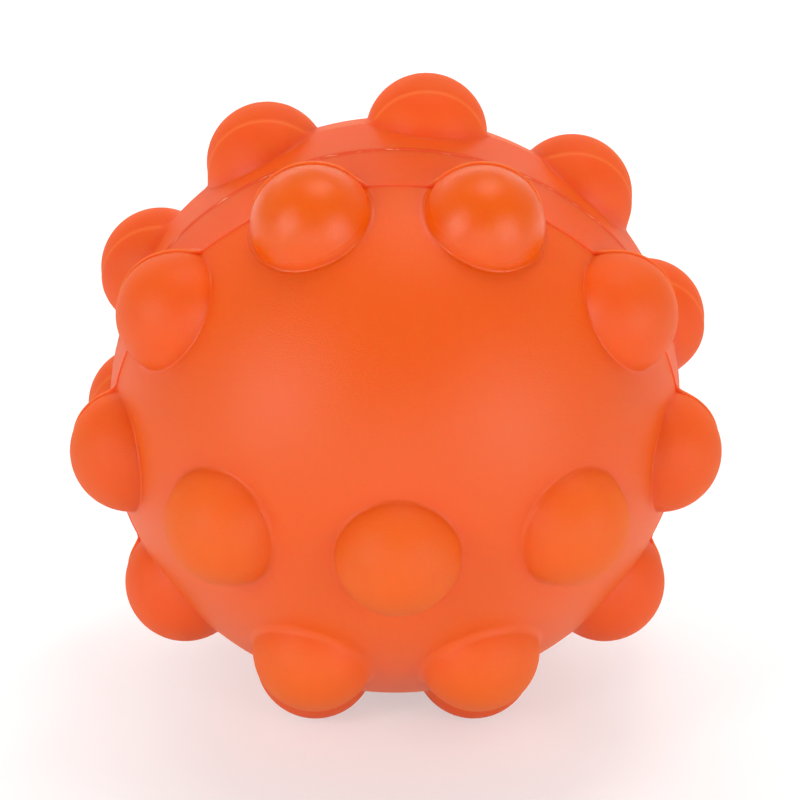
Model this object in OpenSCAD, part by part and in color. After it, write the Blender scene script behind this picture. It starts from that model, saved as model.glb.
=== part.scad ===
// Sensory ball: a hollow, soft, squeezable ball with domed nubs, made of two
// moulded half shells that are bonded together along the seam round its middle.
// Each shell has a ring of nubs beside the seam, a row of three across its pole
// and a pair below the row. The part frame has +Z up and its origin at the centre
// of the ball. The front pole faces -Y, and the ball stands on its three lowest
// nubs.

/* [Body] */
// Outside diameter of the ball between the nubs
body_d = 86; // [76:1:110]
// Thickness of the shell wall
wall = 2.5; // [1.8:0.1:3.2]

/* [Belt] */
// Width of the drafted belt round the middle, from edge line to edge line
belt_w = 20.3; // [16:0.1:24]
// Height of the step up to the belt along its edge lines
belt_step = 0.2; // [0.05:0.05:0.4]
// Draft angle of each half of the belt, in degrees
belt_draft = 3.4; // [1:0.2:5]

/* [Nubs] */
// Diameter of a nub's dome
nub_d = 18; // [15:0.5:19]
// Height of a nub's crown above the body
nub_height = 7; // [5.5:0.25:8]
// Thickness of a nub's wall
nub_wall = 2; // [1.4:0.1:2.6]
// Radius of the fillet where a nub rises from the body
root_fillet = 0.6; // [0.3:0.1:1]
// How far a nub stands proud on its side of the edge line that lies in the belt
nub_step = 0.4; // [0.1:0.05:0.6]
// Number of nubs in the ring beside the seam, an even number
ring_nubs = 10; // [8:2:10]
// Angle of the ring of nubs above the seam plane, in degrees
ring_rise = 19; // [18:0.5:21]
// Angle between the nub on the pole and the next one in its row, in degrees
row_step = 36; // [32:1:38]
// Angle between the nub on the pole and each of the pair below it, in degrees
pair_step = 38; // [36:0.5:39]
// Turn of each of that pair from straight below the pole, in degrees
pair_turn = 28; // [26:0.5:30]
// Turn of the rear shell on the front one, about the ball's axis, in degrees
rear_turn = 11.4; // [0:0.2:18]

/* [Seam] */
// Depth of the thickened land behind the rim, measured from the seam plane
land_depth = 3; // [2.4:0.1:3.4]
// Width of the tongue on the front shell's rim
tongue_w = 1.4; // [1:0.1:1.8]
// Height of the tongue above the seam plane
tongue_h = 1.6; // [1:0.1:2]
// Width of the lip left on each side of the groove
lip_w = 1.4; // [1.2:0.1:1.8]
// Gap for the bond on each side of the tongue
bond_side = 0.12; // [0.08:0.02:0.2]
// Gap for the bond above the tongue
bond_end = 0.3; // [0.1:0.05:0.4]
// Thickness of the bond between the rims
bond_film = 0.1; // [0.06:0.02:0.2]
// Size of the small chamfer on each rim's outer edge
notch = 0.25; // [0.2:0.05:0.4]
// How far the bead of the bond lies below the surface
bead_drop = 0.1; // [0.05:0.05:0.15]

/* [Hidden] */

$fn = 96;
overrun = 1; // how far cutting solids run past what they cut
root_bite = 0.02; // how far the root fillet cuts past the surfaces that it joins

body_r = body_d / 2;
cavity_r = body_r - wall;
belt_h = belt_w / 2;
belt_edge_r = sqrt(pow(body_r, 2) - pow(belt_h, 2)) + belt_step;
seam_r = belt_edge_r + belt_h * tan(belt_draft);
rim_h = bond_film / 2; // height of a shell's rim above the seam plane

nub_r = nub_d / 2;
nub_centre = body_r + nub_height - nub_r;
nub_bore_r = nub_r - nub_wall;
ring_pitch = 360 / ring_nubs;

// Centre of the root fillet's round, in the plane of a nub's axis: it touches the
// ball and the dome from outside.
root_ball_d = body_r + root_fillet;
root_dome_d = nub_r + root_fillet;
root_z = (pow(root_ball_d, 2) + pow(nub_centre, 2) - pow(root_dome_d, 2)) / (2 * nub_centre);
root_x = sqrt(pow(root_ball_d, 2) - pow(root_z, 2));

groove_out_r = seam_r - lip_w;
tongue_out_r = groove_out_r - bond_side;
tongue_in_r = tongue_out_r - tongue_w;
groove_in_r = tongue_in_r - bond_side;
groove_top = tongue_h + bond_end;
land_r = groove_in_r - lip_w;

// Angles of the lowest nub of each ring from straight down, and the turn about X
// that sets the two front nubs and the rear one on one level.
front_low = ring_pitch / 2;
rear_low = abs(ring_pitch / 2 - rear_turn);
ring_r = nub_centre * cos(ring_rise);
ring_y = nub_centre * sin(ring_rise);
rest_tilt = atan(ring_r * (cos(rear_low) - cos(front_low)) / (2 * ring_y));

// Directions of one shell's nubs, as [angle from the pole, turn about the pole].
ring_places = [for (i = [0 : ring_nubs - 1]) [90 - ring_rise, (i + 1 / 2) * ring_pitch]];
row_places = [for (side = [-1, 0, 1]) [side * row_step, 90]];
pair_places = [for (side = [-1, 1]) [pair_step, side * pair_turn]];
cap_places = concat(row_places, pair_places);
all_places = concat(ring_places, cap_places);

// Half profile of the outside of one shell: a round cap on its half of the belt.
module outer_profile() {
    intersection() {
        circle(r = body_r);
        translate([0, belt_h])
            square([body_r, body_r]);
    }
    polygon([
        [0, rim_h],
        [seam_r - notch, rim_h],
        [seam_r - notch * tan(belt_draft), rim_h + notch],
        [belt_edge_r, belt_h],
        [0, belt_h]
    ]);
}

// Half profile of the hollow: the cap's inside, drawn in behind the rim's land.
module cavity_profile() {
    intersection() {
        circle(r = cavity_r);
        polygon([
            [0, -overrun],
            [land_r, -overrun],
            [land_r, land_depth],
            [land_r + body_r, land_depth + body_r],
            [0, land_depth + body_r]
        ]);
    }
}

// Half profile of the tongue, which stands below its shell's rim.
module tongue_profile() {
    translate([tongue_in_r, -tongue_h])
        square([tongue_w, tongue_h + rim_h]);
}

// Half profile of the groove, from the seam plane up into its shell's rim.
module groove_profile() {
    translate([groove_in_r, 0])
        square([groove_out_r - groove_in_r, groove_top]);
}

// Half profile of the skirt round a nub's foot, hollowed by the fillet's round.
module root_profile() {
    ball_share = body_r / root_ball_d;
    dome_share = nub_r / root_dome_d;
    difference() {
        polygon([
            [root_x, root_z],
            [root_x * ball_share, root_z * ball_share],
            [root_x * dome_share, root_z * ball_share - root_fillet],
            [root_x * dome_share, nub_centre + (root_z - nub_centre) * dome_share]
        ]);
        translate([root_x, root_z])
            circle(r = root_fillet + root_bite);
    }
}

// Places its children on each nub's axis, with +Z outward along that axis.
module at_nubs(places) {
    for (p = places)
        rotate([0, 0, p[1]])
            rotate([p[0], 0, 0])
                children();
}

module nub_dome(r) {
    translate([0, 0, nub_centre])
        sphere(r = r);
}

// Keeps the part of its children that lies within one shell's half of the belt.
module within_belt() {
    intersection() {
        children();
        cylinder(r = body_r + nub_height + overrun, h = belt_h);
    }
}

// Keeps the part of its children that lies beyond the belt's edge line.
module beyond_belt() {
    intersection() {
        children();
        translate([0, 0, belt_h])
            cylinder(r = body_r + nub_height + overrun, h = body_r);
    }
}

// One half shell in its moulding frame: rim at the seam plane, pole on +Z.
module half_shell() {
    difference() {
        union() {
            rotate_extrude() outer_profile();
            at_nubs(all_places) nub_dome(nub_r);
            at_nubs(cap_places) rotate_extrude() root_profile();
            beyond_belt() at_nubs(ring_places) rotate_extrude() root_profile();
            within_belt() at_nubs(ring_places) nub_dome(nub_r + nub_step);
        }
        rotate_extrude() cavity_profile();
        at_nubs(all_places) nub_dome(nub_bore_r);
    }
}

// Sets what is made in the moulding frame on its side of the ball, at rest.
module facing_front() {
    rotate([rest_tilt, 0, 0])
        rotate([90, 0, 0])
            children();
}

module facing_rear() {
    rotate([rest_tilt, 0, 0])
        rotate([0, -rear_turn, 0])
            rotate([90, 0, 180])
                children();
}

// Half shell whose rim carries the tongue.
module front_shell() {
    color("orangered")
        facing_front() {
            half_shell();
            rotate_extrude() tongue_profile();
        }
}

// Half shell whose rim carries the groove.
module rear_shell() {
    color("orangered")
        facing_rear()
            difference() {
                half_shell();
                rotate_extrude() groove_profile();
            }
}

// Half profile of the bond: a film between the rims that goes up round the tongue,
// and a bead in the notch at the surface.
module bond_profile() {
    bead_w = rim_h + notch - bead_drop;
    polygon([
        [land_r, -rim_h],
        [tongue_in_r, -rim_h],
        [tongue_in_r, tongue_h],
        [tongue_out_r, tongue_h],
        [tongue_out_r, -rim_h],
        [seam_r - notch, -rim_h],
        [seam_r - bead_drop, -bead_w],
        [seam_r - bead_drop, bead_w],
        [seam_r - notch, rim_h],
        [groove_out_r, rim_h],
        [groove_out_r, groove_top],
        [groove_in_r, groove_top],
        [groove_in_r, rim_h],
        [land_r, rim_h]
    ]);
}

// Adhesive that bonds the shells, seen from outside as the line at the seam.
module seam_bond() {
    color("coral")
        facing_rear()
            rotate_extrude() bond_profile();
}

front_shell();
rear_shell();
seam_bond();
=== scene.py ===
import math
import random

import bpy
import numpy as np
from mathutils import Matrix, Vector
from mathutils.geometry import delaunay_2d_cdt


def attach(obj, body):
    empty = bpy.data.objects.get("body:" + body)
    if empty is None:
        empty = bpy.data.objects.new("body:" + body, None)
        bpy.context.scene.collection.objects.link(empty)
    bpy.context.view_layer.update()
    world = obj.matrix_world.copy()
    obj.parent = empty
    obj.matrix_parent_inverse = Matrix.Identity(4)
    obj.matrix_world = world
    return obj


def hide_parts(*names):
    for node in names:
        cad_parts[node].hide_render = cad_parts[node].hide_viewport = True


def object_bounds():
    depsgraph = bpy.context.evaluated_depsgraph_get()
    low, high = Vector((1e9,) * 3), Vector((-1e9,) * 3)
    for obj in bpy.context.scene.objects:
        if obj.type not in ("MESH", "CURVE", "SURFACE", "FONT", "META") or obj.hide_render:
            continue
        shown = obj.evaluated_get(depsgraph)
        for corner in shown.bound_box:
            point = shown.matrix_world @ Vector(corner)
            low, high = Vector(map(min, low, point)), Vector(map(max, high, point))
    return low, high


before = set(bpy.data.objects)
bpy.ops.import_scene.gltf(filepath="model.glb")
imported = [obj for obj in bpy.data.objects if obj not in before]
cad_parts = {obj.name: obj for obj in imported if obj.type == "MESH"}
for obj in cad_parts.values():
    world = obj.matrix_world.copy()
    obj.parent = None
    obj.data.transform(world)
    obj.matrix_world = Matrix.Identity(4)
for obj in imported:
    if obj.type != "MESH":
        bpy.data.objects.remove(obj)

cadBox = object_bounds()
mm = 0.001  # the sizes below are in millimetres, Blender's are in metres

# the moulding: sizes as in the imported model, apart from its fillets and roundings
ball = {
    "bodyRadius": 43.0,     # outside of the body, between the nubs
    "wall": 2.5,
    "beltHalf": 10.15,      # from the seam to the belt's edge line
    "beltStep": 0.2,        # height of the step up to the belt
    "beltDraft": 3.4,       # degrees
    "nubRadius": 9.0,
    "nubHeight": 7.0,       # crown above the body
    "nubWall": 2.0,
    "ringFillet": 0.36,     # at the foot of a ring nub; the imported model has 0.6 on all nubs
    "rowFillet": 0.85,
    "pairFillet": 1.6,      # the pair rises softly, with no line at its foot
    "nubStep": 0.4,         # how far a nub stands proud within the belt
    "ringNubs": 10,
    "ringRise": 19.0,       # degrees above the seam plane
    "rowStep": 36.0,        # degrees from the pole
    "pairStep": 38.0,       # the pair below the row: degrees from the pole,
    "pairTurn": 28.0,       # and turn from straight below it
    "rearTurn": 11.4,       # degrees, rear shell on the front one
    "edgeRound": 0.10,      # rounding of the belt's step edges
    "arcRoundFront": 0.12,  # rounding of the same edge where it crosses a nub
    "arcRoundRear": 0.30,
    "footBlend": 1.9,       # how softly a nub rises from the belt
    "cornerRound": 0.06,    # rounding at the foot of the steps
    "cornerFrom": 0.3,      # height of a step from which that rounding is full
    "domeCorner": 0.015,    # rounding where a dome meets the body
    "skin": 0.01,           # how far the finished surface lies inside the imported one
}

# the rim and the bond in it
seam = {
    "landDepth": 3.0,       # from the seam plane to the end of the thick land
    "tongueWidth": 1.4,
    "tongueHeight": 1.6,
    "lip": 1.4,             # left on each side of the groove
    "bondSide": 0.12,       # gap on each side of the tongue
    "bondEnd": 0.3,         # gap at its end
    "bondFilm": 0.1,        # gap between the rims
    "notch": 0.25,          # chamfer on each rim's outer edge
    "beadDrop": 0.07,       # how deep the bead lies; 0.1 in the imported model
}

bodyR = ball["bodyRadius"]
cavityR = bodyR - ball["wall"]
beltHalf = ball["beltHalf"]
draftSlope = math.tan(math.radians(ball["beltDraft"]))
beltEdgeR = math.sqrt(bodyR ** 2 - beltHalf ** 2) + ball["beltStep"]
seamR = beltEdgeR + beltHalf * draftSlope
nubR = ball["nubRadius"]
nubCentre = bodyR + ball["nubHeight"] - nubR
boreR = nubR - ball["nubWall"]
proudR = nubR + ball["nubStep"]
rimH = seam["bondFilm"] / 2
notchTop = rimH + seam["notch"]

grooveOut = seamR - seam["lip"]
tongueOut = grooveOut - seam["bondSide"]
tongueIn = tongueOut - seam["tongueWidth"]
grooveIn = tongueIn - seam["bondSide"]
grooveTop = seam["tongueHeight"] + seam["bondEnd"]
landR = grooveIn - seam["lip"]
slopeFrom = landR - seam["landDepth"]  # the land runs out at 45 degrees


# a nub's foot, across and along its axis: centre of the fillet's round, and where
# the fillet ends on the body and on the dome
def footOf(fillet):
    toBall, toDome = bodyR + fillet, nubR + fillet
    along = (toBall ** 2 + nubCentre ** 2 - toDome ** 2) / (2 * nubCentre)
    across = math.sqrt(toBall ** 2 - along ** 2)
    return {
        "fillet": fillet, "ball": toBall, "across": across, "along": along,
        "footAcross": across * bodyR / toBall, "footAlong": along * bodyR / toBall,
        "topAcross": across * nubR / toDome, "topAlong": nubCentre + (along - nubCentre) * nubR / toDome,
    }


# the turn about X that stands the ball on its three lowest nubs
ringPitch = 360 / ball["ringNubs"]
frontLow = math.radians(ringPitch / 2)
rearLow = math.radians(abs(ringPitch / 2 - ball["rearTurn"]))
ringAcross = nubCentre * math.cos(math.radians(ball["ringRise"]))
ringAlong = nubCentre * math.sin(math.radians(ball["ringRise"]))
restTilt = math.atan(ringAcross * (math.cos(rearLow) - math.cos(frontLow)) / (2 * ringAlong))
standing = Matrix.Rotation(restTilt, 4, "X")
facingFront = standing @ Matrix.Rotation(math.radians(90), 4, "X")
facingRear = (standing @ Matrix.Rotation(math.radians(-ball["rearTurn"]), 4, "Y")
              @ Matrix.Rotation(math.radians(180), 4, "Z") @ Matrix.Rotation(math.radians(90), 4, "X"))


def nubAxis(fromPole, turn):
    a, b = math.radians(fromPole), math.radians(turn)
    return np.array([math.sin(a) * math.sin(b), -math.sin(a) * math.cos(b), math.cos(a)])


# every nub, as its axis and its foot
ringFoot, rowFoot, pairFoot = (footOf(ball[key]) for key in ("ringFillet", "rowFillet", "pairFillet"))
ringNubs = [(nubAxis(90 - ball["ringRise"], (i + 0.5) * ringPitch), ringFoot)
            for i in range(ball["ringNubs"])]
capNubs = [(nubAxis(side * ball["rowStep"], 90), rowFoot) for side in (-1, 0, 1)]
capNubs += [(nubAxis(ball["pairStep"], side * ball["pairTurn"]), pairFoot) for side in (-1, 1)]
allNubs = ringNubs + capNubs


# the shell's surface, as a distance from the ball's centre along a direction
def softMax(a, b, width):
    return (a + b + np.sqrt((a - b) ** 2 + width ** 2)) / 2


def softMin(a, b, width):
    return (a + b - np.sqrt((a - b) ** 2 + width ** 2)) / 2


# the larger of two, with a soft corner where they come nearer than the width
def blendMax(a, b, width):
    near = np.maximum(width - np.abs(a - b), 0) / width
    return np.maximum(a, b) + near ** 2 * width / 4


def domeReach(d, axis, radius):
    along = d @ axis
    inside = along ** 2 - (nubCentre ** 2 - radius ** 2) / nubCentre ** 2
    hit = (inside > 0) & (along > 0)
    return np.where(hit, nubCentre * (along + np.sqrt(np.maximum(inside, 0))), 0)


tiny = 0.01  # keeps a divisor off zero


def planeReach(d):
    return beltHalf / np.maximum(d[:, 2], tiny)


def bodyReach(d):
    across = np.hypot(d[:, 0], d[:, 1])
    cone = seamR / (across + d[:, 2] * draftSlope)
    cap = softMax(np.full(len(d), bodyR), planeReach(d), ball["cornerRound"])
    return softMin(cone, cap, ball["edgeRound"])


# distance to the fillet at a nub's foot, 0 where the direction misses it
def footReach(d, axis, foot):
    along = d @ axis
    across = np.sqrt(np.maximum(1 - along ** 2, 0))
    angle = np.arctan2(across, along)
    start = math.atan2(foot["topAcross"], foot["topAlong"])
    end = math.atan2(foot["footAcross"], foot["footAlong"])
    towards = foot["across"] * across + foot["along"] * along
    inside = towards ** 2 - (foot["ball"] ** 2 - foot["fillet"] ** 2)
    hit = (angle > start) & (angle < end) & (inside > 0)
    return np.where(hit, towards - np.sqrt(np.maximum(inside, 0)), 0)


def outerReach(d, arcRound):
    body = bodyReach(d)
    plane = planeReach(d)
    reach = body
    for axis, foot in capNubs:
        reach = softMax(reach, domeReach(d, axis, nubR), ball["domeCorner"])
        reach = np.maximum(reach, footReach(d, axis, foot))
    for axis, foot in ringNubs:
        reach = softMax(reach, domeReach(d, axis, nubR), ball["domeCorner"])
        fillet = footReach(d, axis, foot)
        beyond = np.clip((fillet * d[:, 2] - beltHalf) / ball["edgeRound"], 0, 1)
        reach = reach + beyond * np.maximum(fillet - reach, 0)
        proud = blendMax(body, domeReach(d, axis, proudR), ball["footBlend"])
        corner = ball["cornerRound"] * np.clip((proud - body) / ball["cornerFrom"], 0, 1)
        reach = softMax(reach, softMin(proud, plane, arcRound), corner)
    return reach - ball["skin"]


def innerReach(d):
    across = np.hypot(d[:, 0], d[:, 1])
    land = landR / np.maximum(across, tiny)
    slope = slopeFrom / np.maximum(across - d[:, 2], tiny)
    reach = np.minimum(cavityR, np.where(land * d[:, 2] <= seam["landDepth"], land, slope))
    for axis, _ in allNubs:
        reach = np.maximum(reach, domeReach(d, axis, boreR))
    return reach


# the shell's plan: an equal-area map of directions, in millimetres
def toPlan(d):
    k = bodyR * np.sqrt(2 / (1 + d[:, 2]))
    return np.stack([d[:, 0] * k, d[:, 1] * k], axis=1)


def fromPlan(p):
    q = p / bodyR
    square = (q ** 2).sum(axis=1)
    k = np.sqrt(np.maximum(1 - square / 4, 0))
    return np.stack([q[:, 0] * k, q[:, 1] * k, 1 - square / 2], axis=1)


def unit(v):
    return v / np.linalg.norm(v, axis=-1, keepdims=True)


def turns(count, shift=0.0):
    return (np.arange(count) + shift) * 2 * math.pi / count


# a circle of points about the moulding's axis
def hoop(across, height, turn):
    return np.stack([across * np.cos(turn), across * np.sin(turn), np.full(len(turn), height)], axis=1)


aslant = [0.3, 0.9, 0.2]  # a direction that no nub's axis has


# directions square to an axis, all round it
def spokes(axis, turn):
    side = unit(np.cross(axis, aslant))
    return np.cos(turn)[:, None] * side + np.sin(turn)[:, None] * np.cross(axis, side)


def ringAt(across, height, count, shift=0.0):
    return unit(hoop(across, height, turns(count, shift)))


def ringRound(axis, across, along, count, shift=0.0):
    return unit(along * axis + across * spokes(axis, turns(count, shift)))


# how finely the surfaces are cut up; the distances are in millimetres
detail = {
    "round": 360,               # points round the rim and the belt
    "fewest": 6,                # points in the smallest ring
    "rimRows": (0.42, 0.56, 0.74, 1.0),     # closer rows beside the seam
    "beltRow": 1.1,             # between rows on the belt
    "stepUp": (0.35, 0.12, 0.04, 0),        # rows below the belt's edge line,
    "stepOn": (0.06, 0.04),     # on the step, from its outer and from its inner edge,
    "stepDown": (0, 0.05, 0.14, 0.4),       # and beyond it, on the cap
    "stepUnder": 0.7,           # how far these run in under a ring nub's foot
    "capFrom": 1.2,             # from the edge line to the cap's first row
    "capRow": 1.5,
    "domeRow": 0.75,
    "filletRows": 7,
    "footRows": (0.25, 0.7),    # outside a nub's foot
    "edgeGap": 0.2,             # a ring nub's rows end this close to the belt's edge line
    "creaseTurns": 112,         # points round a nub's foot
    "arcTurns": 160,            # points round a ring nub where the edge line crosses it
    "arcAbove": (0.4, 0.14, 0.05, 0),       # rows above that line,
    "arcOut": (0.1, 0.2, 0.3),  # on the step, out from the dome,
    "arcBack": 0.04,            # back from the step's edge,
    "arcBelow": (0.05, 0.12, 0.22, 0.34, 0.46, 0.58, 0.72, 0.9, 1.1),
    "arcGap": 0.15,             # height above the body at which all these begin
    "creaseRows": (-2.4, -1.8, -1.3, -0.9, -0.55, -0.25, 0.0, 0.3, 0.65, 1.05, 1.5, 2.0),
    "creaseBetween": (6.0, 16.0),   # degrees from a ring nub's axis to its crease on the belt
    "creaseHalvings": 24,
    "creaseGap": 0.1,           # the crease rows end this far below the edge line
    "bore": 36,                 # points round the wide part of a nub's bore
    "boreRows": 9,
    "mouthGap": 1.2,            # from a bore's mouth to the cavity's rows
    "capInside": 3.0,           # between those rows
    "weld": 0.004,              # points of the plan nearer than this are one
    "normalStep": 0.006,        # how far apart a normal's points lie, to each side
}


# points of the plan, and the lines that its triangles keep to
class Plan:
    def __init__(self):
        self.points, self.lines, self.count = [], [], 0

    def add(self, d, keep=None, line=False):
        keep = np.ones(len(d), bool) if keep is None else keep
        index = np.where(keep, self.count + np.cumsum(keep) - 1, -1)
        self.points.append(toPlan(d[keep]))
        self.count += int(keep.sum())
        if line:
            pairs = np.stack([index, np.roll(index, -1)], axis=1)
            self.lines.append(pairs[(pairs >= 0).all(axis=1)])
        return index

    def triangles(self):
        points = [Vector(p) for p in np.concatenate(self.points)]
        lines = [tuple(int(i) for i in pair) for pair in np.concatenate(self.lines)]
        verts, _, faces, origin, _, _ = delaunay_2d_cdt(points, lines, [], 0, detail["weld"])
        place = np.zeros(len(points), int)
        for new, old in enumerate(origin):
            for i in old:
                place[i] = new
        return np.array([tuple(v) for v in verts]), np.array([tuple(f) for f in faces]), place


# true where a direction lies clear of every nub's foot
def clearOf(d, nubs, gap):
    return np.all([d @ axis < math.cos(math.atan2(foot["footAcross"] + gap, foot["footAlong"]))
                   for axis, foot in nubs], axis=0)


# points in a ring, as a whole number
def wholeCount(wanted):
    return max(detail["fewest"], int(round(wanted)))


def beltRing(height, shift=0.0):
    return ringAt(seamR - height * draftSlope, height, detail["round"], shift)


# rows of a round cap, clear of the nubs, from an angle off its pole inwards
def addCapRows(plan, radius, start, spacing, first, nubs, gap):
    rows = int(round(start * radius / spacing))
    for row in range(first, rows):
        angle = start * (1 - row / rows)
        count = wholeCount(2 * math.pi * radius * math.sin(angle) / spacing)
        d = ringAt(math.sin(angle), math.cos(angle), count, 0.5 * (row % 2))
        plan.add(d, clearOf(d, nubs, gap))


# a dome, the fillet at its foot, and the rows round it
def addNub(plan, axis, foot, onRing):
    top = math.atan2(foot["topAcross"], foot["topAlong"] - nubCentre)
    rows = int(round(top * nubR / detail["domeRow"]))
    plan.add(axis[None, :])
    for row in range(1, rows):
        angle = top * row / rows
        across, along = nubR * math.sin(angle), nubCentre + nubR * math.cos(angle)
        count = wholeCount(2 * math.pi * nubR * math.sin(angle) / detail["domeRow"])
        plan.add(ringRound(axis, across, along, count, 0.5 * (row % 2)))

    arcFrom = math.atan2(foot["topAlong"] - foot["along"], foot["topAcross"] - foot["across"])
    arcTo = math.atan2(foot["footAlong"] - foot["along"], foot["footAcross"] - foot["across"])
    arcTo += 2 * math.pi if arcTo < arcFrom else 0
    for row in range(detail["filletRows"] + 1):
        angle = arcFrom + (arcTo - arcFrom) * row / detail["filletRows"]
        across = foot["across"] + foot["fillet"] * math.cos(angle)
        along = foot["along"] + foot["fillet"] * math.sin(angle)
        d = ringRound(axis, across, along, detail["creaseTurns"])
        plan.add(d, d[:, 2] * bodyR > beltHalf - detail["edgeGap"] if onRing else None, line=True)
    for out in detail["footRows"]:
        d = ringRound(axis, foot["footAcross"] + out, foot["footAlong"], detail["creaseTurns"])
        plan.add(d, d[:, 2] * bodyR > beltHalf + detail["edgeGap"] if onRing else None, line=True)


# lines of the step across a ring nub, and of its crease on the belt
def addBeltSide(plan, axis):
    middle = axis * nubCentre
    turn = np.linspace(0, 2 * math.pi, detail["arcTurns"], endpoint=False)
    onStep = [nubR + out for out in detail["arcOut"]] + [proudR - detail["arcBack"], proudR]
    lines = [(nubR, above) for above in detail["arcAbove"]]
    lines += [(radius, 0) for radius in onStep]
    lines += [(proudR, -below) for below in detail["arcBelow"]]
    for radius, above in lines:
        height = beltHalf + above
        across = math.sqrt(radius ** 2 - (height - middle[2]) ** 2)
        point = hoop(across, height, turn) + [middle[0], middle[1], 0]
        d = unit(point)
        plan.add(d, np.linalg.norm(point, axis=1) > bodyReach(d) + detail["arcGap"], line=True)

    # where the proud dome meets the belt, found along each direction by halving
    sway = spokes(axis, turns(detail["creaseTurns"]))
    near, far = (np.full(len(sway), math.radians(angle)) for angle in detail["creaseBetween"])
    for _ in range(detail["creaseHalvings"]):
        mid = (near + far) / 2
        d = np.cos(mid)[:, None] * axis + np.sin(mid)[:, None] * sway
        onDome = domeReach(d, axis, proudR) > bodyReach(d)
        near, far = np.where(onDome, mid, near), np.where(onDome, far, mid)
    for out in detail["creaseRows"]:
        angle = near + out / bodyR
        d = np.cos(angle)[:, None] * axis + np.sin(angle)[:, None] * sway
        plan.add(d, bodyReach(d) * d[:, 2] < beltHalf - detail["creaseGap"], line=True)


def outerPlan():
    plan = Plan()
    rim = plan.add(beltRing(notchTop), line=True)
    for height in detail["rimRows"]:
        plan.add(beltRing(height), line=True)
    rows = int(round((beltHalf - notchTop) / detail["beltRow"]))
    for row in range(1, rows):
        d = beltRing(notchTop + (beltHalf - notchTop) * row / rows, 0.5 * (row % 2))
        plan.add(d, clearOf(d, ringNubs, detail["beltRow"]))

    # the step at the belt's edge line
    capEdge = math.sqrt(bodyR ** 2 - beltHalf ** 2)
    fromOuter, fromInner = detail["stepOn"]
    onStep = (beltEdgeR - fromOuter, (beltEdgeR + capEdge) / 2, capEdge + fromInner)
    stepRows = [(beltEdgeR, beltHalf - below) for below in detail["stepUp"]]
    stepRows += [(across, beltHalf) for across in onStep]
    stepRows += [(capEdge, beltHalf + above) for above in detail["stepDown"]]
    for across, height in stepRows:
        d = ringAt(across, height, detail["round"])
        plan.add(d, clearOf(d, ringNubs, -detail["stepUnder"]), line=True)

    start = math.acos((beltHalf + detail["capFrom"]) / bodyR)
    addCapRows(plan, bodyR, start, detail["capRow"], 0, allNubs, detail["beltRow"])
    for axis, foot in ringNubs:
        addNub(plan, axis, foot, onRing=True)
        addBeltSide(plan, axis)
    for axis, foot in capNubs:
        addNub(plan, axis, foot, onRing=False)
    return plan, rim


def innerPlan():
    plan = Plan()
    rim = plan.add(ringAt(landR, rimH, detail["round"]), line=True)
    plan.add(ringAt(landR, seam["landDepth"], detail["round"] // 2), line=True)
    slopeEnd = (math.sqrt(2 * cavityR ** 2 - slopeFrom ** 2) - slopeFrom) / 2
    plan.add(ringAt(math.sqrt(cavityR ** 2 - slopeEnd ** 2), slopeEnd, detail["round"] // 2), line=True)

    # the cavity's rows keep clear of the mouths of the nubs' bores
    along = (cavityR ** 2 + nubCentre ** 2 - boreR ** 2) / (2 * nubCentre)
    mouth = {"footAcross": math.sqrt(cavityR ** 2 - along ** 2), "footAlong": along}
    mouths = [(axis, mouth) for axis, _ in allNubs]
    start = math.acos(slopeEnd / cavityR)
    addCapRows(plan, cavityR, start, detail["capInside"], 1, mouths, detail["mouthGap"])
    top = math.atan2(mouth["footAcross"], along - nubCentre)
    for axis, _ in allNubs:
        plan.add(axis[None, :])
        plan.add(ringRound(axis, mouth["footAcross"], along, detail["bore"] * 2), line=True)
        for row in range(1, detail["boreRows"]):
            angle = top * row / detail["boreRows"]
            across, height = boreR * math.sin(angle), nubCentre + boreR * math.cos(angle)
            plan.add(ringRound(axis, across, height, wholeCount(detail["bore"] * math.sin(angle))))
    return plan, rim


# outward normals of the surface that a reach gives, by central differences
def surfaceNormals(d, reach):
    side = unit(np.cross(d, np.where(np.abs(d[:, 2:3]) < 0.9, [[0.0, 0.0, 1.0]], [[1.0, 0.0, 0.0]])))
    other = np.cross(d, side)
    edges = []
    for way in (side, other):
        points = []
        for sign in (1, -1):
            e = unit(d + sign * detail["normalStep"] / bodyR * way)
            points.append(e * reach(e)[:, None])
        edges.append(points[0] - points[1])
    return unit(np.cross(edges[0], edges[1]))


# one surface of the moulding: places, faces, normals and the order of its rim
def surface(triangles, rim, reach):
    flat, faces, place = triangles
    d = fromPlan(flat)
    return {"d": d, "points": d * reach(d)[:, None], "faces": faces,
            "normals": surfaceNormals(d, reach), "rim": place[rim]}


# where the polish and the painted shade and highlights lie and how far they reach, in millimetres
markReach = {
    "domeFrom": 0.3,        # height above the body at which a dome begins
    "creaseFade": 0.84,     # painted shade of the crease, out from a nub's foot and up its side
    "creaseFillet": 0.65,   # a wider fillet has a weaker painted crease shade
    "polishFade": 0.6,      # out from a polished nub's foot
    "redFade": 2.0,         # the painted shade on a ring nub, in from its foot
    "rimWidth": 0.62,       # the painted shade, a darker line beside the seam
    "beltFade": 0.05,       # the painted shade on the belt, below its edge line
    "arcInside": 0.15,      # the painted highlight, a pale line across a nub, begins this far out from its dome
    "arcRise": 0.8,         # and comes in over this height above the body,
    "arcLate": 0.3,         # from this share of it on
    "dipWidth": 0.11,       # painted shade in the corner at the foot of the step across a nub
    "shadeAt": 0.35,        # painted shade beyond the edge line on the rear's nubs
    "shadeWidth": 0.3,
    "stepWidth": 0.1,
    "stepTop": 1.2,         # the step's own painted shadow line ends at this height on a nub
}


# distance along the body from the middle of a nub's fillet, outwards
def pastFoot(d, axis, foot):
    return (np.arccos(np.clip(d @ axis, -1, 1)) - math.atan2(foot["across"], foot["along"])) * bodyR
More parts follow.
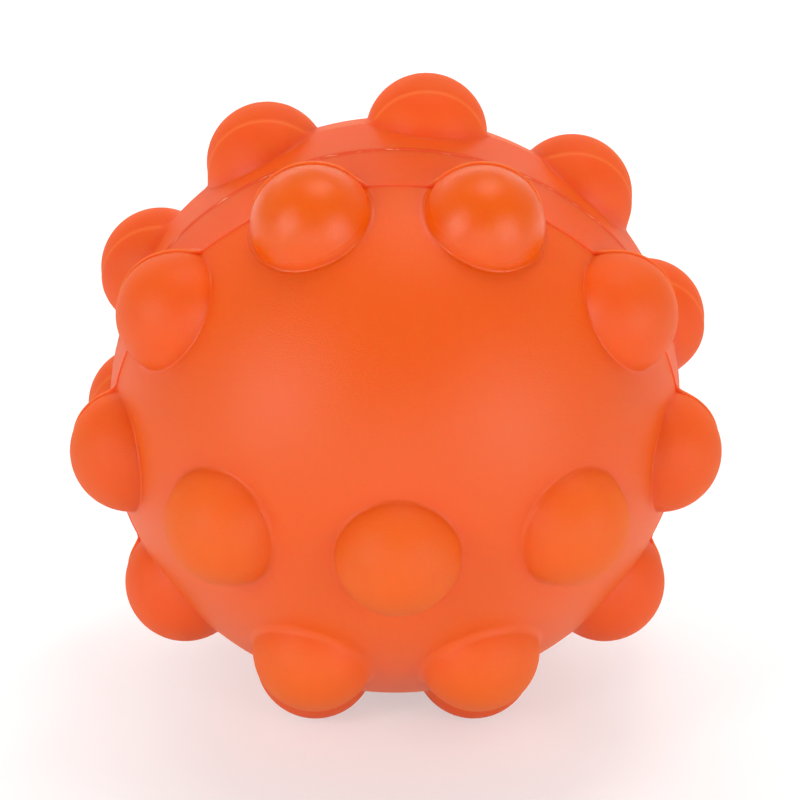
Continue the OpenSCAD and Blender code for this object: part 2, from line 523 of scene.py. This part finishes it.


# masks for one shell: its polish, and the painted shade and painted highlights in its colour
def polishAndShadingMasks(d, points, polishAndShading):
    height = np.linalg.norm(points, axis=1) - bodyR
    above = points[:, 2] - beltHalf
    onNub = np.clip(height - markReach["domeFrom"], 0, 1)
    crease, shine, nubShade = np.zeros(len(d)), np.zeros(len(d)), np.zeros(len(d))
    fromEdge, fromCorner = np.full(len(d), math.inf), np.full(len(d), math.inf)
    # painted shade in the creases at the nubs' feet
    for axis, foot in allNubs:
        outside = pastFoot(d, axis, foot)
        away = np.where(outside > 0, outside, np.maximum(height, 0))
        strength = min(1, markReach["creaseFillet"] / foot["fillet"])
        crease = np.maximum(crease, np.exp(-away / markReach["creaseFade"]) * strength)
    for index, (axis, foot) in enumerate(ringNubs):
        fromCentre = np.linalg.norm(points - axis * nubCentre, axis=1)
        aside = np.maximum(nubR + markReach["arcInside"] - fromCentre, fromCentre - proudR)
        fromEdge = np.minimum(fromEdge, np.hypot(np.maximum(aside, 0), above - polishAndShading["arcAt"]))
        fromCorner = np.minimum(fromCorner, np.hypot(fromCentre - nubR, above))
        inside = -pastFoot(d, axis, foot)
        polished = polishAndShading["polished"].get(index, 0)
        shine = np.maximum(shine, polished * np.clip(inside / markReach["polishFade"] + 1, 0, 1))
        # painted shade: ring nubs drawn darker and more red
        red = polishAndShading["nubShade"].get(index, polishAndShading["nubShade"]["rest"])
        nubShade = np.maximum(nubShade, red * np.clip(inside / markReach["redFade"], 0, 1))
    # painted highlight along the edge line across a ring nub
    arcHighlight = np.exp(-(fromEdge / polishAndShading["arcWidth"]) ** 2) * polishAndShading["arcStrength"]
    # painted shade at the step's corner, and beyond the edge line on the rear's nubs
    dip = np.exp(-(fromCorner / markReach["dipWidth"]) ** 2)
    shade = np.exp(-((above - markReach["shadeAt"]) / markReach["shadeWidth"]) ** 2) * polishAndShading["arcShade"]
    # painted shadow line of the step
    step = np.exp(-(above / markReach["stepWidth"]) ** 2)
    return {
        "dullShare": onNub - shine,
        # painted light: the crowns drawn lighter and yellower
        "nubLightShare": np.clip(height / ball["nubHeight"], 0, 1) * (1 - nubShade),
        "nubShadeShare": nubShade,
        "beltShadeShare": np.clip(-above / markReach["beltFade"], 0, 1) * (1 - onNub),
        # painted shade beside the seam
        "seamShadeShare": np.exp(-(points[:, 2] / markReach["rimWidth"]) ** 4),
        "creaseShadeShare": crease,
        "arcHighlightShare": arcHighlight * np.clip(height / markReach["arcRise"] - markReach["arcLate"], 0, 1),
        "arcCornerShade": np.maximum(dip, shade) * onNub,
        "stepShadowShare": step * np.clip(markReach["stepTop"] - height, 0, 1),
    }


# a piece in the ball's frame, with its masks as attributes; points past a mask's end have none
def makePiece(name, points, faces, place, masks, material):
    mesh = bpy.data.meshes.new(name)
    mesh.from_pydata((points @ np.array(place.to_3x3()).T * mm).tolist(), [], faces)
    mesh.polygons.foreach_set("use_smooth", [True] * len(mesh.polygons))
    for mask, values in masks.items():
        layer = mesh.attributes.new(mask, "FLOAT", "POINT")
        layer.data.foreach_set("value", np.concatenate([values, np.zeros(len(points) - len(values))]))
    mesh.materials.append(material)
    piece = bpy.data.objects.new(name, mesh)
    bpy.context.scene.collection.objects.link(piece)
    return piece


# a shell: its outside, its inside, and the rings of its rim between them
def shellPiece(name, outer, inner, rimProfile, place, polishAndShading, material):
    count = detail["round"]
    points = [outer["points"], inner["points"]]
    points = np.concatenate(points + [hoop(across, height, turns(count)) for across, height in rimProfile])
    insideFrom = len(outer["points"])
    ringFrom = insideFrom + len(inner["points"])
    loops = [outer["rim"]]
    loops += [ringFrom + count * i + np.arange(count) for i in range(len(rimProfile))]
    loops.append(insideFrom + inner["rim"])
    insideFaces = inner["faces"][:, ::-1]
    faces = outer["faces"].tolist() + (insideFaces + insideFrom).tolist()
    normals = [outer["normals"][outer["faces"].ravel()], -inner["normals"][insideFaces.ravel()]]

    # the bands of the rim, each with the normals of its own slope
    here = np.arange(count)
    after = (here + 1) % count
    corners = np.stack([after, here, here, after], axis=1).ravel()
    for a, b in zip(loops[:-1], loops[1:]):
        start, end = points[a[0]], points[b[0]]
        slope = np.array([end[2] - start[2], math.hypot(*start[:2]) - math.hypot(*end[:2])])
        slope = slope / np.linalg.norm(slope)
        faces += np.stack([a[after], a, b, b[after]], axis=1).tolist()
        normals.append(hoop(-slope[0], -slope[1], turns(count))[corners])

    masks = polishAndShadingMasks(outer["d"], outer["points"], polishAndShading)
    piece = makePiece(name, points, faces, place, masks, material)
    piece.data.validate()
    turned = np.concatenate(normals) @ np.array(place.to_3x3()).T
    piece.data.normals_split_custom_set(turned.tolist())
    return piece


# the bead of adhesive in the notch, with the light flecks that show along it and a painted highlight along
# its edge towards the rear shell
beadLook = {
    "round": 2160,
    "rows": (-1.0, -0.8, -0.6, -0.4, -0.2, 0.0, 0.2, 0.4, 0.6, 0.8, 1.0),
    "sag": 0.04,            # millimetres that the bead's middle lies below its edges
    "waver": 0.03,          # unevenness of its surface
    "waves": (31, 73, 149, 311),    # round the ball
    "waveShift": 6.28,      # most that one is turned on, in radians
    "flecks": 130,
    "fleckLength": (0.15, 1.6),     # least and most, in millimetres
    "fleckRise": (0.05, 0.12),
    "fleckRows": (-0.75, -0.5, 0.1, 0.6, 0.8),
    "fleckWidth": 0.36,     # rows and widths are shares of half the bead's width
    "edgeHighlight": 0.15,       # painted highlight: its edge towards the rear shell is drawn lighter
    "paleAt": 0.9,
    "paleWidth": 0.35,
    "filmShare": 0.9,       # how much of the gap between the rims the film fills
    "filmGap": (0.05, 0.01),    # millimetres from the film to the notch and to the land
    "seed": 7,
}


def beadPiece(material):
    look = beadLook
    draw = random.Random(look["seed"])
    count, rows = look["round"], look["rows"]
    turn = turns(count)
    whole = 2 * math.pi * seamR
    around = turn * seamR
    rise = np.zeros((len(rows), count))
    # painted highlight along the bead's edge towards the rear shell
    edge = [look["edgeHighlight"] * math.exp(-((share - look["paleAt"]) / look["paleWidth"]) ** 2)
            for share in rows]
    pale = np.repeat(np.array(edge)[:, None], count, axis=1)
    for _ in range(look["flecks"]):
        place, length = draw.uniform(0, whole), draw.uniform(*look["fleckLength"])
        middle, high = draw.choice(look["fleckRows"]), draw.uniform(*look["fleckRise"])
        away = (around - place + whole / 2) % whole - whole / 2
        along = np.exp(-np.abs(away / (length / 2)) ** 4)
        for row, share in enumerate(rows):
            spot = along * math.exp(-((share - middle) / look["fleckWidth"]) ** 2)
            rise[row] = np.maximum(rise[row], spot * high)
            pale[row] = np.maximum(pale[row], spot)
    waver = np.zeros(count)
    for waves in look["waves"]:
        waver += look["waver"] / 4 * np.sin(waves * turn + draw.uniform(0, look["waveShift"]))

    # section: across the notch, then back inside along the film
    faceR = seamR - seam["beadDrop"]
    halfWidth = rimH + seam["notch"] - seam["beadDrop"]
    rings = []
    for row, share in enumerate(rows):
        out = faceR + (waver - look["sag"]) * (1 - share ** 2) + rise[row]
        rings.append(hoop(out, share * halfWidth, turn))
    filmH = rimH * look["filmShare"]
    filmOut, filmIn = seamR - seam["notch"] - look["filmGap"][0], landR + look["filmGap"][1]
    for across, height in [(filmOut, filmH), (filmIn, filmH), (filmIn, -filmH), (filmOut, -filmH)]:
        rings.append(hoop(across, height, turn))
    faces = []
    for row in range(len(rings)):
        low, high = row * count, (row + 1) % len(rings) * count
        faces += [(low + i, low + (i + 1) % count, high + (i + 1) % count, high + i) for i in range(count)]
    return makePiece("seam_bead", np.concatenate(rings), faces, facingRear,
                     {"fleckAndHighlightShare": pale.ravel()}, material)


# node helpers
def newGroup(name, inputs, outputs):
    group = bpy.data.node_groups.new(name, "ShaderNodeTree")
    for socket, kind, value in inputs:
        made = group.interface.new_socket(socket, in_out="INPUT", socket_type=kind)
        made.default_value = value
    for socket, kind in outputs:
        group.interface.new_socket(socket, in_out="OUTPUT", socket_type=kind)
    return group, group.nodes.new("NodeGroupInput"), group.nodes.new("NodeGroupOutput")


def mathNode(tree, kind, a, b=None):
    node = tree.nodes.new("ShaderNodeMath")
    node.operation = kind
    for index, value in enumerate((a, b)):
        if value is None:
            continue
        if isinstance(value, (int, float)):
            node.inputs[index].default_value = value
        else:
            tree.links.new(value, node.inputs[index])
    return node.outputs[0]


def noiseNode(tree, where, scale, detailLevel, roughness):
    node = tree.nodes.new("ShaderNodeTexNoise")
    node.inputs["Detail"].default_value = detailLevel
    node.inputs["Roughness"].default_value = roughness
    tree.links.new(where, node.inputs["Vector"])
    if isinstance(scale, (int, float)):
        node.inputs["Scale"].default_value = scale
    else:
        tree.links.new(scale, node.inputs["Scale"])
    return node.outputs["Fac"]


def mixColour(tree, share, a, b):
    node = tree.nodes.new("ShaderNodeMix")
    node.data_type = "RGBA"
    for socket, value in ((node.inputs[0], share), (node.inputs[6], a), (node.inputs[7], b)):
        if isinstance(value, (int, float)):
            socket.default_value = value
        elif isinstance(value, tuple):
            socket.default_value = (*value, 1)
        else:
            tree.links.new(value, socket)
    return node.outputs[2]


def groupNode(tree, group, values):
    node = tree.nodes.new("ShaderNodeGroup")
    node.node_tree = group
    for socket, value in values.items():
        node.inputs[socket].default_value = value
    return node


def attributeNode(tree, name):
    node = tree.nodes.new("ShaderNodeAttribute")
    node.attribute_name = name
    return node.outputs["Fac"]


def newMaterial(name):
    material = bpy.data.materials.new(name)
    material.use_nodes = True
    shader = material.node_tree.nodes["Principled BSDF"]
    return material, material.node_tree, shader


grainLook = {
    "grainPerMetre": 4600.0,
    "grain": 1.25,
    "wavesPerMetre": 260.0,
    "waves": 1.0,
    "patchesPerMetre": 90.0,    # patches of uneven gloss
}


# fine moulded grain with the slow waviness of a soft moulding
def satinGrainGroup():
    look = grainLook
    group, given, result = newGroup("satinGrain", [
        ("Grain per metre", "NodeSocketFloat", look["grainPerMetre"]),
        ("Grain", "NodeSocketFloat", look["grain"]),
        ("Waves per metre", "NodeSocketFloat", look["wavesPerMetre"]),
        ("Waves", "NodeSocketFloat", look["waves"]),
    ], [("Height", "NodeSocketFloat"), ("Rough mask", "NodeSocketFloat")])
    where = group.nodes.new("ShaderNodeTexCoord").outputs["Object"]
    grain = noiseNode(group, where, given.outputs["Grain per metre"], detailLevel=3.0, roughness=0.6)
    waves = noiseNode(group, where, given.outputs["Waves per metre"], detailLevel=2.0, roughness=0.45)
    patches = noiseNode(group, where, look["patchesPerMetre"], detailLevel=4.0, roughness=0.55)
    fine = mathNode(group, "MULTIPLY", grain, given.outputs["Grain"])
    slow = mathNode(group, "MULTIPLY", waves, given.outputs["Waves"])
    group.links.new(mathNode(group, "ADD", fine, slow), result.inputs["Height"])
    group.links.new(patches, result.inputs["Rough mask"])
    return group


pigmentLook = {
    "cloudsPerMetre": 42.0,
    "clouds": 0.8,
    "specksPerMetre": 1500.0,
    "specks": 0.2,
    "drift": 0.3,
}


# slight uneven colour, as pigment and thickness give it
def pigmentGroup():
    look = pigmentLook
    group, given, result = newGroup("pigmentDrift", [
        ("Colour", "NodeSocketColor", (1, 1, 1, 1)),
        ("Drift colour", "NodeSocketColor", (1, 1, 1, 1)),
        ("Drift", "NodeSocketFloat", look["drift"]),
    ], [("Colour", "NodeSocketColor")])
    where = group.nodes.new("ShaderNodeTexCoord").outputs["Object"]
    clouds = noiseNode(group, where, look["cloudsPerMetre"], detailLevel=3.0, roughness=0.5)
    specks = noiseNode(group, where, look["specksPerMetre"], detailLevel=2.0, roughness=0.5)
    clouds = mathNode(group, "MULTIPLY", clouds, look["clouds"])
    specks = mathNode(group, "MULTIPLY", specks, look["specks"])
    share = mathNode(group, "MULTIPLY", mathNode(group, "ADD", clouds, specks), given.outputs["Drift"])
    colour = mixColour(group, share, given.outputs["Colour"], given.outputs["Drift colour"])
    group.links.new(colour, result.inputs["Colour"])
    return group


# grain on a shader: its bump, and the roughness that it gives
def addGrain(tree, shader, grainGroup, look, values):
    grain = groupNode(tree, grainGroup, values)
    bump = tree.nodes.new("ShaderNodeBump")
    bump.inputs["Strength"].default_value = look["bump"]
    bump.inputs["Distance"].default_value = look["bumpDepth"]
    tree.links.new(grain.outputs["Height"], bump.inputs["Height"])
    tree.links.new(bump.outputs["Normal"], shader.inputs["Normal"])
    rough = mathNode(tree, "MULTIPLY", grain.outputs["Rough mask"], look["roughnessDrift"])
    return mathNode(tree, "ADD", rough, look["roughness"])


vinylLook = {
    "body": (0.905, 0.118, 0.0015),      # linear colours
    "drift": (0.895, 0.100, 0.001),
    "driftStrength": 0.8,
    "nub": (0.915, 0.130, 0.001),        # painted light: the crowns, with their thinner wall, drawn a touch yellower and lighter, for light shining through
    "nubPower": 0.6,
    "shadedNub": (0.905, 0.096, 0.001),     # painted shade: the ring's nubs are drawn darker and more red, where less light reaches them
    # painted shade: the belt drawn darker and more red than the body
    "belt": (0.905, 0.094, 0.001),
    "rim": (0.890, 0.050, 0.001),        # painted shade: a darker line beside the seam, in its groove
    # painted shade: darker in the creases at the nubs' feet
    "crease": (0.880, 0.060, 0.002),
    "arcHighlight": (0.950, 0.230, 0.050),        # painted highlight: the edge line across a nub is drawn pale
    # painted shade: the corner at the foot of a step and the step's shadow line
    "step": (0.870, 0.060, 0.002),
    "marks": [                           # one over the other: mask, colour, and how much shows
        ("nubShadeShare", "shadedNub", 1.0),
        ("beltShadeShare", "belt", 1.0),
        ("seamShadeShare", "rim", 1.0),
        ("creaseShadeShare", "crease", 0.2),
        ("arcCornerShade", "step", 0.25),
        ("arcHighlightShare", "arcHighlight", 0.8),
        ("stepShadowShare", "step", 0.5),
    ],
    "roughness": 0.37,
    "roughnessDrift": 0.08,
    "nubDuller": 0.15,                   # most domes are duller than the body
    "rimDuller": 0.2,
    "edgeDuller": 0.18,                  # the soft surface loses its gloss at a low angle
    "edgeBlend": 0.4,
    "edgePower": 1.5,
    "front": {
        # ring nubs by number: how much hands have polished them, and how much painted shade makes them
        # darker and more red
        "polished": {4: 1.75, 5: 1.75, 3: 0.5, 6: 0.5},
        "nubShade": {"rest": 0.6, 0: 1.0, 1: 1.0, 4: 0.2, 5: 0.2, 8: 1.0, 9: 1.0},
        "arcAt": 0.0,
        "arcWidth": 0.16,
        "arcStrength": 1.0,
        "arcShade": 0.0,
    },
    "rear": {
        "polished": {0: 1.0},
        "nubShade": {"rest": 1.0},
        "arcAt": -0.55,                  # millimetres from the edge line to the painted highlight's pale line
        "arcWidth": 0.22,
        "arcStrength": 0.55,
        "arcShade": 0.6,
    },
    "subsurface": 0.55,
    "subsurfaceRadius": (1.0, 0.22, 0.08),
    "subsurfaceScale": 0.0035,
    "specular": 0.48,
    "bump": 0.16,
    "bumpDepth": 0.0004,                 # metres
}


# the vinyl of both shells, coloured, with painted shade and painted highlights, and dulled by their masks
def softVinyl(grainGroup, driftGroup):
    look = vinylLook
    material, tree, shader = newMaterial("softVinyl")
    drift = groupNode(tree, driftGroup, {
        "Colour": (*look["body"], 1),
        "Drift colour": (*look["drift"], 1),
        "Drift": look["driftStrength"],
    })
    # painted light: lighter, yellower crowns on the domes
    nub = mathNode(tree, "POWER", attributeNode(tree, "nubLightShare"), look["nubPower"])
    colour = mixColour(tree, nub, drift.outputs["Colour"], look["nub"])
    for mask, tone, shows in look["marks"]:
        share = mathNode(tree, "MULTIPLY", attributeNode(tree, mask), shows)
        colour = mixColour(tree, share, colour, look[tone])
    tree.links.new(colour, shader.inputs["Base Color"])

    # duller on most domes, beside the seam, and at a low angle where hands haven't polished it
    dull = attributeNode(tree, "dullShare")
    rim = mathNode(tree, "MULTIPLY", attributeNode(tree, "seamShadeShare"), look["rimDuller"])
    rough = addGrain(tree, shader, grainGroup, look, {})
    rough = mathNode(tree, "ADD", rough, mathNode(tree, "MULTIPLY", dull, look["nubDuller"]))
    rough = mathNode(tree, "ADD", rough, rim)
    edge = tree.nodes.new("ShaderNodeLayerWeight")
    edge.inputs["Blend"].default_value = look["edgeBlend"]
    edge = mathNode(tree, "POWER", edge.outputs["Facing"], look["edgePower"])
    unpolished = mathNode(tree, "MINIMUM", mathNode(tree, "ADD", dull, 1.0), 1.0)
    unpolished = mathNode(tree, "MAXIMUM", unpolished, 0.0)
    edge = mathNode(tree, "MULTIPLY", mathNode(tree, "MULTIPLY", edge, unpolished), look["edgeDuller"])
    tree.links.new(mathNode(tree, "ADD", rough, edge), shader.inputs["Roughness"])
    shader.inputs["Specular IOR Level"].default_value = look["specular"]
    shader.inputs["Subsurface Weight"].default_value = look["subsurface"]
    shader.inputs["Subsurface Radius"].default_value = look["subsurfaceRadius"]
    shader.inputs["Subsurface Scale"].default_value = look["subsurfaceScale"]
    return material


bondLook = {
    # the adhesive's own colour, drawn dark so that it also carries the painted shade of the seam's groove
    "colour": (0.920, 0.052, 0.001),
    "drift": (0.880, 0.060, 0.002),
    "driftStrength": 1.0,
    "fleckAndHighlight": (0.980, 0.400, 0.210),
    "roughness": 0.50,
    "roughnessDrift": 0.15,
    "specular": 0.25,
    "bump": 0.2,
    "bumpDepth": 0.0003,
    "grainPerMetre": 4200.0,
    "wavesPerMetre": 900.0,
}


# the adhesive, with its pale flecks and the painted highlight along its edge
def bondGum(grainGroup, driftGroup):
    look = bondLook
    material, tree, shader = newMaterial("bondGum")
    drift = groupNode(tree, driftGroup, {
        "Colour": (*look["colour"], 1),
        "Drift colour": (*look["drift"], 1),
        "Drift": look["driftStrength"],
    })
    colour = mixColour(tree, attributeNode(tree, "fleckAndHighlightShare"), drift.outputs["Colour"], look["fleckAndHighlight"])
    tree.links.new(colour, shader.inputs["Base Color"])
    grain = {"Grain per metre": look["grainPerMetre"], "Waves per metre": look["wavesPerMetre"]}
    rough = addGrain(tree, shader, grainGroup, look, grain)
    tree.links.new(rough, shader.inputs["Roughness"])
    shader.inputs["Specular IOR Level"].default_value = look["specular"]
    return material


# stage: a pale floor that keeps the ball's shadow, soft lamps and a white surround
stageLook = {
    "floorSize": 6.0,
    "floorColour": (0.62, 0.62, 0.62),
    "floorGlow": 0.45,      # seen, but lights nothing, so that the floor reads as white
    "floorRoughness": 0.9,
    "floorSpecular": 0.1,
    "surround": 0.2,
    "lampDistance": 1.4,
}


# a strength that only what looks straight at it, or mirrors it, sees
def seenOnly(tree, strength):
    rays = tree.nodes.new("ShaderNodeLightPath")
    seen = mathNode(tree, "MAXIMUM", rays.outputs["Is Camera Ray"], rays.outputs["Is Glossy Ray"])
    seen = mathNode(tree, "MAXIMUM", seen, rays.outputs["Is Transmission Ray"])
    return mathNode(tree, "MULTIPLY", seen, strength)


def buildStage(lowest):
    look = stageLook
    half = look["floorSize"] / 2
    corners = [(-half, -half, lowest), (half, -half, lowest), (half, half, lowest), (-half, half, lowest)]
    mesh = bpy.data.meshes.new("floor")
    mesh.from_pydata(corners, [], [(0, 1, 2, 3)])
    floor = bpy.data.objects.new("floor", mesh)
    bpy.context.scene.collection.objects.link(floor)
    material, tree, shader = newMaterial("paleFloor")
    shader.inputs["Base Color"].default_value = (*look["floorColour"], 1)
    shader.inputs["Roughness"].default_value = look["floorRoughness"]
    shader.inputs["Specular IOR Level"].default_value = look["floorSpecular"]
    shader.inputs["Emission Color"].default_value = (1, 1, 1, 1)
    tree.links.new(seenOnly(tree, look["floorGlow"]), shader.inputs["Emission Strength"])
    mesh.materials.append(material)

    world = bpy.data.worlds.new("whiteRoom")
    world.use_nodes = True
    back = world.node_tree.nodes["Background"]
    back.inputs["Color"].default_value = (1, 1, 1, 1)
    back.inputs["Strength"].default_value = look["surround"]
    bpy.context.scene.world = world


# softboxes, as azimuth and elevation in degrees, width and height in metres, and watts
softboxes = {
    "keyLeft": (-51.5, 21.5, (0.27, 0.70), 5.7),
    "keyRight": (47, 14, (0.45, 0.72), 5.0),
    "front": (0, 9, (1.40, 0.40), 3.3),
    "overhead": (142, 75, (0.25, 0.50), 2.5),
    "top": (180, 74, (1.00, 0.50), 0.5),
    "backLow": (180, 16, (1.60, 0.45), 2.9),
    "backLeft": (-130, 30, (0.90, 0.70), 0.7),
    "backRight": (130, 30, (0.90, 0.70), 0.6),
}

# fill lamps, which only brighten and leave no highlight
fillLamps = {
    "fillTop": (180, 60, (1.60, 1.00), 10.6),
    "fillBack": (180, 12, (1.80, 0.80), 4.1),
    "fillLeft": (-90, 10, (1.40, 0.80), 3.5),
    "fillRight": (90, 10, (1.40, 0.80), 4.3),
    "fillFront": (0, 6, (1.80, 0.40), 3.2),
}


def softbox(name, azimuth, elevation, size, power, mirrored=True):
    a, e = math.radians(azimuth), math.radians(elevation)
    away = Vector((math.sin(a) * math.cos(e), -math.cos(a) * math.cos(e), math.sin(e)))
    lamp = bpy.data.lights.new(name, "AREA")
    lamp.shape = "RECTANGLE"
    lamp.size, lamp.size_y = size
    lamp.energy = power
    holder = bpy.data.objects.new(name, lamp)
    holder.location = away * stageLook["lampDistance"]
    holder.rotation_euler = away.to_track_quat("Z", "Y").to_euler()
    holder.visible_camera = False
    holder.visible_glossy = mirrored
    bpy.context.scene.collection.objects.link(holder)


# the photograph's view: worked out from the ball's outline and belt lines in it
viewpoint = {
    "turn": -0.79,          # degrees about the ball's axis
    "aboveAxis": 30.23,     # degrees above the axis of the front pole
    "roll": 0.45,
    "distance": 12.846,     # in body radii
    "focalPixels": 3689.6,
    "imageSize": 800,
    "ballAt": (395.29, 404.67),
    "sensorWidth": 36,
    "clip": (0.01, 20),
}


def buildCamera():
    view = viewpoint
    a, e, r = (math.radians(view[key]) for key in ("turn", "aboveAxis", "roll"))
    back = Vector((math.sin(a) * math.cos(e), -math.cos(a) * math.cos(e), math.sin(e)))
    right = Vector((math.cos(a), math.sin(a), 0))
    up = back.cross(right)
    right, up = right * math.cos(r) + up * math.sin(r), up * math.cos(r) - right * math.sin(r)
    tilt = standing.to_3x3()
    back, right, up = tilt @ back, tilt @ right, tilt @ up
    distance = view["distance"] * bodyR * mm
    perPixel = distance / view["focalPixels"]
    middle = view["imageSize"] / 2
    aim = right * (middle - view["ballAt"][0]) * perPixel + up * (view["ballAt"][1] - middle) * perPixel
    lens = bpy.data.cameras.new("camera")
    lens.sensor_width = view["sensorWidth"]
    lens.lens = lens.sensor_width * view["focalPixels"] / view["imageSize"]
    lens.clip_start, lens.clip_end = view["clip"]
    camera = bpy.data.objects.new("camera", lens)
    turned = Matrix((right, up, back)).transposed().to_4x4()
    camera.matrix_world = Matrix.Translation(aim + back * distance) @ turned
    bpy.context.scene.collection.objects.link(camera)
    bpy.context.scene.camera = camera


def buildBall():
    grainGroup, driftGroup = satinGrainGroup(), pigmentGroup()
    vinyl = softVinyl(grainGroup, driftGroup)
    gum = bondGum(grainGroup, driftGroup)
    plan, rim = outerPlan()
    flat = plan.triangles()
    outerFront = surface(flat, rim, lambda d: outerReach(d, ball["arcRoundFront"]))
    outerRear = surface(flat, rim, lambda d: outerReach(d, ball["arcRoundRear"]))
    print("outer surfaces:", len(outerFront["points"]), "points each")
    plan, rim = innerPlan()
    inner = surface(plan.triangles(), rim, innerReach)
    print("inner surface:", len(inner["points"]), "points")

    tongueEnd = -seam["tongueHeight"]
    chamfer = [(seamR - seam["notch"], rimH)]
    tongue = [(tongueOut, rimH), (tongueOut, tongueEnd), (tongueIn, tongueEnd), (tongueIn, rimH)]
    groove = [(grooveOut, rimH), (grooveOut, grooveTop), (grooveIn, grooveTop), (grooveIn, rimH)]
    front = shellPiece("front_shell_vinyl", outerFront, inner, chamfer + tongue, facingFront,
                       vinylLook["front"], vinyl)
    rear = shellPiece("rear_shell_vinyl", outerRear, inner, chamfer + groove, facingRear,
                      vinylLook["rear"], vinyl)
    bead = beadPiece(gum)
    pieces = [
        (front, "front_shell", "vinyl"),
        (rear, "rear_shell", "vinyl"),
        (bead, "seam_bond", "bond"),
    ]
    for piece, node, slot in pieces:
        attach(piece, "root")
        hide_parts(node)
    print("shells and seam built")


buildCamera()
buildBall()
buildStage(cadBox[0][2])
for name, values in softboxes.items():
    softbox(name, *values)
for name, values in fillLamps.items():
    softbox(name, *values, mirrored=False)
bpy.context.scene.view_settings.view_transform = "Standard"
print("stage, lamps and camera set")
